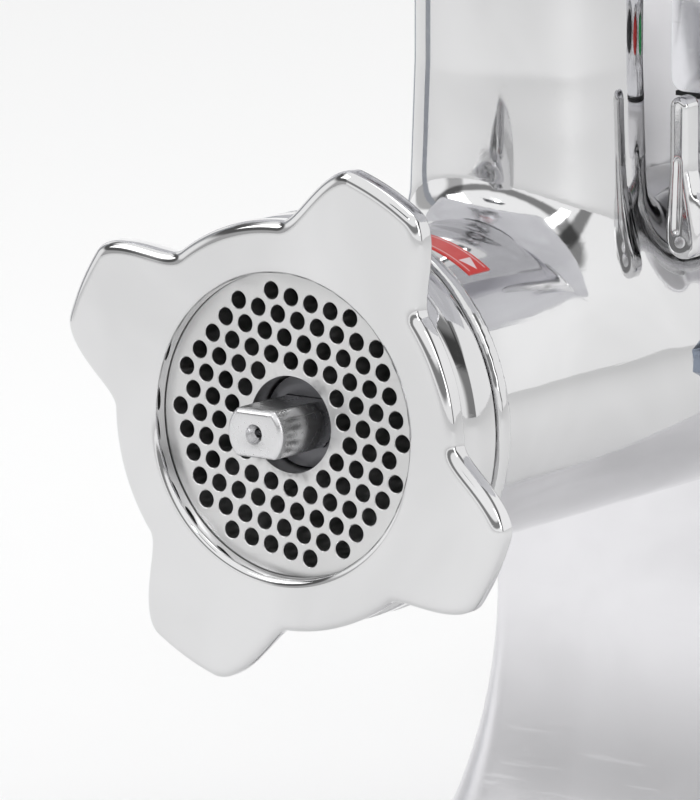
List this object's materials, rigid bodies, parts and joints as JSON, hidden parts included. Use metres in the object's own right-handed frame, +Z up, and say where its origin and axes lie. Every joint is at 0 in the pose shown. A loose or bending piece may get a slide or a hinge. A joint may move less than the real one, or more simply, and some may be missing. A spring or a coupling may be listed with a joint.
{
  "type": "electric meat grinder",
  "caption": "Table top electric meat grinder: polished cast head with feed neck, lobed ring nut, hole plate, knife and auger on a flared body with geared motor, tray and pusher.",
  "frame": {"origin": "on the table, centre of the bounding box's underside", "axes": "+X to the operator's right seen from the hole plate's side, +Y from the hole plate to the rear, +Z up"},
  "size_m": [0.28, 0.462, 0.4435],
  "materials": {
    "polished_casting": "polished, fine scratches",
    "satin_casting": "satin, fine scratches",
    "machined_steel": "turned",
    "stainless_sheet": "satin",
    "gear_steel": "oiled",
    "hardened_steel": "ground",
    "bronze": "turned",
    "grey_casting": "as cast",
    "black_rubber": "matt",
    "black_plastic": "fine grain",
    "white_plastic": "food grade",
    "grey_plastic": "moulded",
    "red_label": "printed film",
    "green_plastic": "moulded",
    "red_plastic": "moulded",
    "copper": "varnished wire",
    "core_steel": "laminated",
    "hex_steel": "blued"
  },
  "bodies": {
    "body": {"body_casting": "satin_casting", "shaft_seal": "black_rubber", "output_bearings": "machined_steel", "intermediate_bearings": "machined_steel", "bearing_plate": "grey_casting", "bearing_plate_screws": "machined_steel", "gearcase_cover": "grey_casting", "gearcase_screws": "machined_steel", "motor_stator": "core_steel", "motor_windings": "copper", "motor_frame": "grey_casting", "motor_end_shield": "grey_casting", "motor_bearings": "machined_steel", "start_capacitor": "grey_plastic", "capacitor_clip": "stainless_sheet", "motor_cover": "stainless_sheet", "rear_cover": "stainless_sheet", "cover_seal": "black_rubber", "cover_screws": "machined_steel", "base_plate": "stainless_sheet", "base_screws": "machined_steel", "rubber_feet": "black_rubber", "control_box": "stainless_sheet", "control_seal": "black_rubber", "control_screws": "machined_steel", "button_bezels": "machined_steel", "contact_blocks": "black_plastic", "cable_gland": "black_plastic", "grinding_head": "polished_casting", "rear_bushing": "bronze", "hole_plate": "hardened_steel", "plate_key": "hardened_steel", "thrust_washer": "white_plastic", "rotation_arrow": "red_label", "side_plug": "hex_steel"},
    "ring": {"ring_nut": "polished_casting"},
    "auger_set": {"auger": "machined_steel", "auger_stud": "machined_steel", "knife": "hardened_steel", "output_shaft": "machined_steel", "output_gear": "gear_steel", "output_key": "hardened_steel"},
    "intermediate": {"intermediate_shaft": "machined_steel", "intermediate_gear": "gear_steel", "intermediate_pinion": "gear_steel"},
    "rotor": {"motor_pinion": "gear_steel", "motor_shaft": "machined_steel", "motor_rotor": "core_steel", "cooling_fan": "black_plastic"},
    "clamp_right": {"clamp_lever_right": "polished_casting", "clamp_screw_right": "machined_steel", "lever_pin_right": "machined_steel"},
    "clamp_left": {"clamp_lever_left": "polished_casting", "clamp_screw_left": "machined_steel", "lever_pin_left": "machined_steel"},
    "start": {"start_button": "green_plastic"},
    "stop": {"stop_button": "red_plastic"},
    "reverse": {"reverse_button": "black_plastic"},
    "tray": {"feed_tray": "stainless_sheet"},
    "pusher": {"pusher": "white_plastic"}
  },
  "joints": [
    {"name": "ring_nut_turn", "type": "hinge", "parent": "body", "child": "ring", "pos_m": [0, -0.21045, 0.178], "axis": [0, -1, 0], "range_deg": [0, 720]},
    {"name": "auger_spin", "type": "hinge", "parent": "body", "child": "auger_set", "pos_m": [0, -0.06545, 0.178], "axis": [0, 1, 0], "continuous": true},
    {"name": "intermediate_spin", "type": "hinge", "parent": "body", "child": "intermediate", "pos_m": [0.012, 0.01455, 0.1065], "axis": [0, 1, 0], "continuous": true},
    {"name": "motor_spin", "type": "hinge", "parent": "body", "child": "rotor", "pos_m": [0, 0.11455, 0.15607], "axis": [0, 1, 0], "continuous": true},
    {"name": "clamp_right_turn", "type": "hinge", "parent": "body", "child": "clamp_right", "pos_m": [0.0413, -0.06545, 0.218], "axis": [0, 1, 0], "range_deg": [0, 90]},
    {"name": "clamp_left_turn", "type": "hinge", "parent": "body", "child": "clamp_left", "pos_m": [-0.0413, -0.06545, 0.218], "axis": [0, -1, 0], "range_deg": [0, 90]},
    {"name": "start_press", "type": "slide", "parent": "body", "child": "start", "axis": [0, 1, 0], "range_m": [0, 0.003], "stiffness_N_per_m": 600, "springref_m": -0.001},
    {"name": "stop_press", "type": "slide", "parent": "body", "child": "stop", "axis": [0, 1, 0], "range_m": [0, 0.003], "stiffness_N_per_m": 600, "springref_m": -0.001},
    {"name": "reverse_press", "type": "slide", "parent": "body", "child": "reverse", "axis": [0, 1, 0], "range_m": [0, 0.003], "stiffness_N_per_m": 600, "springref_m": -0.001},
    {"name": "tray_lift", "type": "slide", "parent": "body", "child": "tray", "axis": [0, 0, 1], "range_m": [0, 0.08]},
    {"name": "pusher_lift", "type": "slide", "parent": "tray", "child": "pusher", "axis": [0, 0, 1], "range_m": [0, 0.12]}
  ],
  "couplings": [
    {"joint": "intermediate_spin", "follows": "auger_spin", "ratio": -2.8667},
    {"joint": "motor_spin", "follows": "auger_spin", "ratio": 9.3167}
  ]
}
